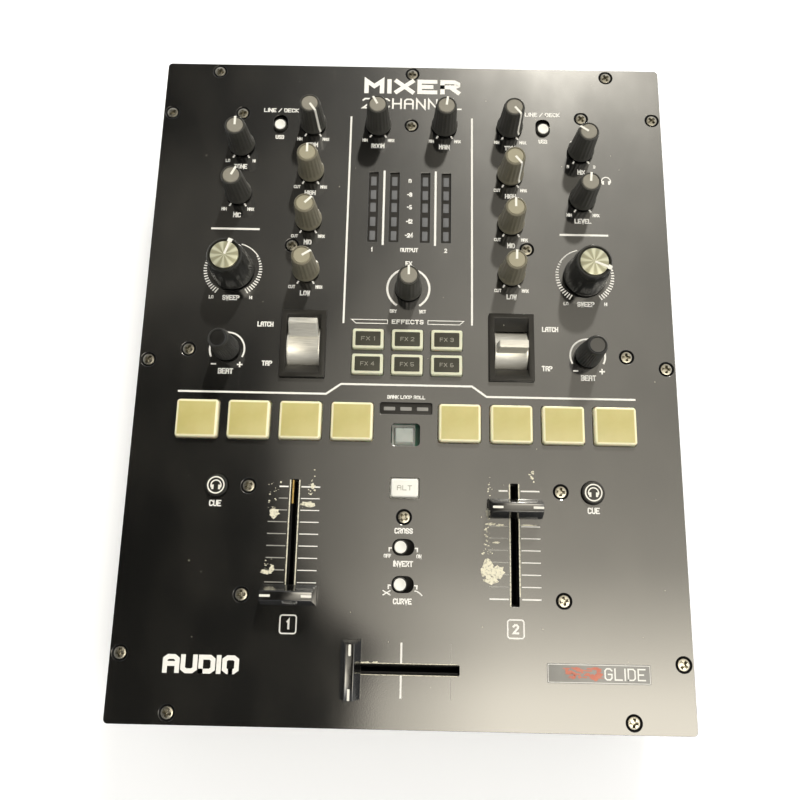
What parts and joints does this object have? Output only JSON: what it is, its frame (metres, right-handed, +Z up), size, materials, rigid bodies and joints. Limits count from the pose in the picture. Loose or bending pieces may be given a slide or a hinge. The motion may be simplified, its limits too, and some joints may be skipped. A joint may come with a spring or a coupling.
{
  "type": "dj mixer",
  "caption": "Compact battle mixer: a black steel case with turning knobs, sliding faders, tilting effect paddles, rubber pads and buttons, and sockets at the rear.",
  "frame": {"origin": "centre of the bounding box at the bottom of the feet", "axes": "+Z up out of the control panel, +Y to the rear sockets, +X to the right hand of the user"},
  "size_m": [0.249, 0.323, 0.0785],
  "materials": {
    "case_black": "satin black paint over steel, rubbed bright at the slots",
    "circuit_green": "solder mask",
    "socket_dark": "moulded socket housings",
    "fader_steel": "pressed steel",
    "foot_rubber": "moulded rubber",
    "knob_black": "soft black with a white pointer",
    "knob_grey": "soft olive grey with a white pointer",
    "knob_gloss": "gloss black with a spun aluminium disc",
    "knob_knurled": "knurled black",
    "encoder_steel": "turned steel",
    "pad_cream": "translucent rubber yellowed with age",
    "button_frosted": "frosted translucent plastic with a black inlay",
    "button_white": "translucent white plastic",
    "slider_white": "white plastic",
    "cap_black": "satin black with white index marks",
    "bezel_black": "satin black moulding",
    "paddle_aluminium": "brushed",
    "switch_black": "smooth black"
  },
  "bodies": {
    "case": {"top_plate": "case_black", "base_tray": "case_black", "control_board": "circuit_green", "socket_board": "socket_dark", "crossfader_module": "fader_steel", "channel_1_paddle_bezel": "bezel_black", "channel_2_paddle_bezel": "bezel_black", "foot_front_left": "foot_rubber", "foot_front_right": "foot_rubber", "foot_rear_left": "foot_rubber", "foot_rear_right": "foot_rubber"},
    "room_level_knob": {"room_level_knob": "knob_black"},
    "main_level_knob": {"main_level_knob": "knob_black"},
    "mic_tone_knob": {"mic_tone_knob": "knob_black"},
    "mic_level_knob": {"mic_level_knob": "knob_black"},
    "phones_mix_knob": {"phones_mix_knob": "knob_black"},
    "phones_level_knob": {"phones_level_knob": "knob_black"},
    "effect_mix_knob": {"effect_mix_knob": "knob_black"},
    "channel_1_trim_knob": {"channel_1_trim_knob": "knob_black"},
    "channel_1_high_knob": {"channel_1_high_knob": "knob_grey"},
    "channel_1_mid_knob": {"channel_1_mid_knob": "knob_grey"},
    "channel_1_low_knob": {"channel_1_low_knob": "knob_grey"},
    "channel_1_filter_knob": {"channel_1_filter_knob": "knob_gloss"},
    "channel_2_trim_knob": {"channel_2_trim_knob": "knob_black"},
    "channel_2_high_knob": {"channel_2_high_knob": "knob_grey"},
    "channel_2_mid_knob": {"channel_2_mid_knob": "knob_grey"},
    "channel_2_low_knob": {"channel_2_low_knob": "knob_grey"},
    "channel_2_filter_knob": {"channel_2_filter_knob": "knob_gloss"},
    "channel_1_loop_encoder": {"channel_1_loop_encoder": "encoder_steel"},
    "channel_1_loop_knob": {"channel_1_loop_knob": "knob_knurled"},
    "channel_2_loop_encoder": {"channel_2_loop_encoder": "encoder_steel"},
    "channel_2_loop_knob": {"channel_2_loop_knob": "knob_knurled"},
    "pad_1": {"pad_1": "pad_cream"},
    "pad_2": {"pad_2": "pad_cream"},
    "pad_3": {"pad_3": "pad_cream"},
    "pad_4": {"pad_4": "pad_cream"},
    "pad_5": {"pad_5": "pad_cream"},
    "pad_6": {"pad_6": "pad_cream"},
    "pad_7": {"pad_7": "pad_cream"},
    "pad_8": {"pad_8": "pad_cream"},
    "effect_button_1": {"effect_button_1": "button_frosted"},
    "effect_button_2": {"effect_button_2": "button_frosted"},
    "effect_button_3": {"effect_button_3": "button_frosted"},
    "effect_button_4": {"effect_button_4": "button_frosted"},
    "effect_button_5": {"effect_button_5": "button_frosted"},
    "effect_button_6": {"effect_button_6": "button_frosted"},
    "pad_mode_button": {"pad_mode_button": "button_white"},
    "shift_button": {"shift_button": "button_white"},
    "channel_1_cue_button": {"channel_1_cue_button": "button_white"},
    "channel_2_cue_button": {"channel_2_cue_button": "button_white"},
    "channel_1_input_switch": {"channel_1_input_switch": "slider_white"},
    "channel_2_input_switch": {"channel_2_input_switch": "slider_white"},
    "reverse_switch": {"reverse_switch": "slider_white"},
    "slope_switch": {"slope_switch": "slider_white"},
    "channel_1_fader_cap": {"channel_1_fader_cap": "cap_black"},
    "channel_2_fader_cap": {"channel_2_fader_cap": "cap_black"},
    "crossfader_cap": {"crossfader_cap": "cap_black"},
    "channel_1_effect_paddle": {"channel_1_effect_paddle": "paddle_aluminium"},
    "channel_2_effect_paddle": {"channel_2_effect_paddle": "paddle_aluminium"},
    "power_switch": {"power_switch": "switch_black"}
  },
  "joints": [
    {"name": "room_level_turn", "type": "hinge", "parent": "case", "child": "room_level_knob", "pos_m": [-0.0165, 0.1205, 0.06], "axis": [0, 0, 1], "range_deg": [-178, 122]},
    {"name": "main_level_turn", "type": "hinge", "parent": "case", "child": "main_level_knob", "pos_m": [0.0165, 0.1205, 0.06], "axis": [0, 0, 1], "range_deg": [-142, 158]},
    {"name": "mic_tone_turn", "type": "hinge", "parent": "case", "child": "mic_tone_knob", "pos_m": [-0.084, 0.108, 0.06], "axis": [0, 0, 1], "range_deg": [-150, 150]},
    {"name": "mic_level_turn", "type": "hinge", "parent": "case", "child": "mic_level_knob", "pos_m": [-0.084, 0.082, 0.06], "axis": [0, 0, 1], "range_deg": [-124, 176]},
    {"name": "phones_mix_turn", "type": "hinge", "parent": "case", "child": "phones_mix_knob", "pos_m": [0.084, 0.108, 0.06], "axis": [0, 0, 1], "range_deg": [-206, 94]},
    {"name": "phones_level_turn", "type": "hinge", "parent": "case", "child": "phones_level_knob", "pos_m": [0.084, 0.082, 0.06], "axis": [0, 0, 1], "range_deg": [-145, 155]},
    {"name": "effect_mix_turn", "type": "hinge", "parent": "case", "child": "effect_mix_knob", "pos_m": [0, 0.034, 0.06], "axis": [0, 0, 1], "range_deg": [-150, 150]},
    {"name": "channel_1_trim_turn", "type": "hinge", "parent": "case", "child": "channel_1_trim_knob", "pos_m": [-0.049, 0.1205, 0.06], "axis": [0, 0, 1], "range_deg": [-6, 294]},
    {"name": "channel_1_high_turn", "type": "hinge", "parent": "case", "child": "channel_1_high_knob", "pos_m": [-0.049, 0.0945, 0.06], "axis": [0, 0, 1], "range_deg": [-150, 150]},
    {"name": "channel_1_mid_turn", "type": "hinge", "parent": "case", "child": "channel_1_mid_knob", "pos_m": [-0.049, 0.0685, 0.06], "axis": [0, 0, 1], "range_deg": [-105, 195]},
    {"name": "channel_1_low_turn", "type": "hinge", "parent": "case", "child": "channel_1_low_knob", "pos_m": [-0.049, 0.0425, 0.06], "axis": [0, 0, 1], "range_deg": [-93, 207]},
    {"name": "channel_1_filter_turn", "type": "hinge", "parent": "case", "child": "channel_1_filter_knob", "pos_m": [-0.084, 0.0418, 0.06], "axis": [0, 0, 1], "range_deg": [-132, 168]},
    {"name": "channel_2_trim_turn", "type": "hinge", "parent": "case", "child": "channel_2_trim_knob", "pos_m": [0.049, 0.1205, 0.06], "axis": [0, 0, 1], "range_deg": [-10, 290]},
    {"name": "channel_2_high_turn", "type": "hinge", "parent": "case", "child": "channel_2_high_knob", "pos_m": [0.049, 0.0945, 0.06], "axis": [0, 0, 1], "range_deg": [-10, 290]},
    {"name": "channel_2_mid_turn", "type": "hinge", "parent": "case", "child": "channel_2_mid_knob", "pos_m": [0.049, 0.0685, 0.06], "axis": [0, 0, 1], "range_deg": [-150, 150]},
    {"name": "channel_2_low_turn", "type": "hinge", "parent": "case", "child": "channel_2_low_knob", "pos_m": [0.049, 0.0425, 0.06], "axis": [0, 0, 1], "range_deg": [-148, 152]},
    {"name": "channel_2_filter_turn", "type": "hinge", "parent": "case", "child": "channel_2_filter_knob", "pos_m": [0.084, 0.0418, 0.06], "axis": [0, 0, 1], "range_deg": [-38, 262]},
    {"name": "channel_1_loop_push", "type": "slide", "parent": "case", "child": "channel_1_loop_encoder", "axis": [0, 0, -1], "range_m": [0, 0.0008], "stiffness_N_per_m": 900, "springref_m": -0.0008},
    {"name": "channel_1_loop_turn", "type": "hinge", "parent": "channel_1_loop_encoder", "child": "channel_1_loop_knob", "pos_m": [-0.084, 0.0025, 0.06], "axis": [0, 0, 1], "continuous": true},
    {"name": "channel_2_loop_push", "type": "slide", "parent": "case", "child": "channel_2_loop_encoder", "axis": [0, 0, -1], "range_m": [0, 0.0008], "stiffness_N_per_m": 900, "springref_m": -0.0008},
    {"name": "channel_2_loop_turn", "type": "hinge", "parent": "channel_2_loop_encoder", "child": "channel_2_loop_knob", "pos_m": [0.084, 0.0025, 0.06], "axis": [0, 0, 1], "continuous": true},
    {"name": "pad_1_press", "type": "slide", "parent": "case", "child": "pad_1", "axis": [0, 0, -1], "range_m": [0, 0.0015], "stiffness_N_per_m": 900, "springref_m": -0.0006},
    {"name": "pad_2_press", "type": "slide", "parent": "case", "child": "pad_2", "axis": [0, 0, -1], "range_m": [0, 0.0015], "stiffness_N_per_m": 900, "springref_m": -0.0006},
    {"name": "pad_3_press", "type": "slide", "parent": "case", "child": "pad_3", "axis": [0, 0, -1], "range_m": [0, 0.0015], "stiffness_N_per_m": 900, "springref_m": -0.0006},
    {"name": "pad_4_press", "type": "slide", "parent": "case", "child": "pad_4", "axis": [0, 0, -1], "range_m": [0, 0.0015], "stiffness_N_per_m": 900, "springref_m": -0.0006},
    {"name": "pad_5_press", "type": "slide", "parent": "case", "child": "pad_5", "axis": [0, 0, -1], "range_m": [0, 0.0015], "stiffness_N_per_m": 900, "springref_m": -0.0006},
    {"name": "pad_6_press", "type": "slide", "parent": "case", "child": "pad_6", "axis": [0, 0, -1], "range_m": [0, 0.0015], "stiffness_N_per_m": 900, "springref_m": -0.0006},
    {"name": "pad_7_press", "type": "slide", "parent": "case", "child": "pad_7", "axis": [0, 0, -1], "range_m": [0, 0.0015], "stiffness_N_per_m": 900, "springref_m": -0.0006},
    {"name": "pad_8_press", "type": "slide", "parent": "case", "child": "pad_8", "axis": [0, 0, -1], "range_m": [0, 0.0015], "stiffness_N_per_m": 900, "springref_m": -0.0006},
    {"name": "effect_button_1_press", "type": "slide", "parent": "case", "child": "effect_button_1", "axis": [0, 0, -1], "range_m": [0, 0.0008], "stiffness_N_per_m": 900, "springref_m": -0.0006},
    {"name": "effect_button_2_press", "type": "slide", "parent": "case", "child": "effect_button_2", "axis": [0, 0, -1], "range_m": [0, 0.0008], "stiffness_N_per_m": 900, "springref_m": -0.0006},
    {"name": "effect_button_3_press", "type": "slide", "parent": "case", "child": "effect_button_3", "axis": [0, 0, -1], "range_m": [0, 0.0008], "stiffness_N_per_m": 900, "springref_m": -0.0006},
    {"name": "effect_button_4_press", "type": "slide", "parent": "case", "child": "effect_button_4", "axis": [0, 0, -1], "range_m": [0, 0.0008], "stiffness_N_per_m": 900, "springref_m": -0.0006},
    {"name": "effect_button_5_press", "type": "slide", "parent": "case", "child": "effect_button_5", "axis": [0, 0, -1], "range_m": [0, 0.0008], "stiffness_N_per_m": 900, "springref_m": -0.0006},
    {"name": "effect_button_6_press", "type": "slide", "parent": "case", "child": "effect_button_6", "axis": [0, 0, -1], "range_m": [0, 0.0008], "stiffness_N_per_m": 900, "springref_m": -0.0006},
    {"name": "pad_mode_button_press", "type": "slide", "parent": "case", "child": "pad_mode_button", "axis": [0, 0, -1], "range_m": [0, 0.0008], "stiffness_N_per_m": 900, "springref_m": -0.0006},
    {"name": "shift_button_press", "type": "slide", "parent": "case", "child": "shift_button", "axis": [0, 0, -1], "range_m": [0, 0.0008], "stiffness_N_per_m": 900, "springref_m": -0.0006},
    {"name": "channel_1_cue_button_press", "type": "slide", "parent": "case", "child": "channel_1_cue_button", "axis": [0, 0, -1], "range_m": [0, 0.0008], "stiffness_N_per_m": 900, "springref_m": -0.0006},
    {"name": "channel_2_cue_button_press", "type": "slide", "parent": "case", "child": "channel_2_cue_button", "axis": [0, 0, -1], "range_m": [0, 0.0008], "stiffness_N_per_m": 900, "springref_m": -0.0006},
    {"name": "channel_1_input_switch_slide", "type": "slide", "parent": "case", "child": "channel_1_input_switch", "axis": [0, 1, 0], "range_m": [0, 0.0025]},
    {"name": "channel_2_input_switch_slide", "type": "slide", "parent": "case", "child": "channel_2_input_switch", "axis": [0, 1, 0], "range_m": [0, 0.0025]},
    {"name": "reverse_switch_slide", "type": "slide", "parent": "case", "child": "reverse_switch", "axis": [1, 0, 0], "range_m": [0, 0.0025]},
    {"name": "slope_switch_slide", "type": "slide", "parent": "case", "child": "slope_switch", "axis": [1, 0, 0], "range_m": [0, 0.0025]},
    {"name": "channel_1_fader_slide", "type": "slide", "parent": "case", "child": "channel_1_fader_cap", "axis": [0, 1, 0], "range_m": [0, 0.047]},
    {"name": "channel_2_fader_slide", "type": "slide", "parent": "case", "child": "channel_2_fader_cap", "axis": [0, 1, 0], "range_m": [-0.0388, 0.0082]},
    {"name": "crossfader_slide", "type": "slide", "parent": "case", "child": "crossfader_cap", "axis": [1, 0, 0], "range_m": [-0.0009, 0.0435]},
    {"name": "channel_1_effect_paddle_tilt", "type": "hinge", "parent": "case", "child": "channel_1_effect_paddle", "pos_m": [-0.0485, 0.005, 0.0515], "axis": [1, 0, 0], "range_deg": [0, 58]},
    {"name": "channel_2_effect_paddle_tilt", "type": "hinge", "parent": "case", "child": "channel_2_effect_paddle", "pos_m": [0.0485, 0.005, 0.0515], "axis": [1, 0, 0], "range_deg": [-36, 22]},
    {"name": "power_switch_rock", "type": "hinge", "parent": "case", "child": "power_switch", "pos_m": [-0.07, 0.146, 0.031], "axis": [1, 0, 0], "range_deg": [0, 20]}
  ]
}
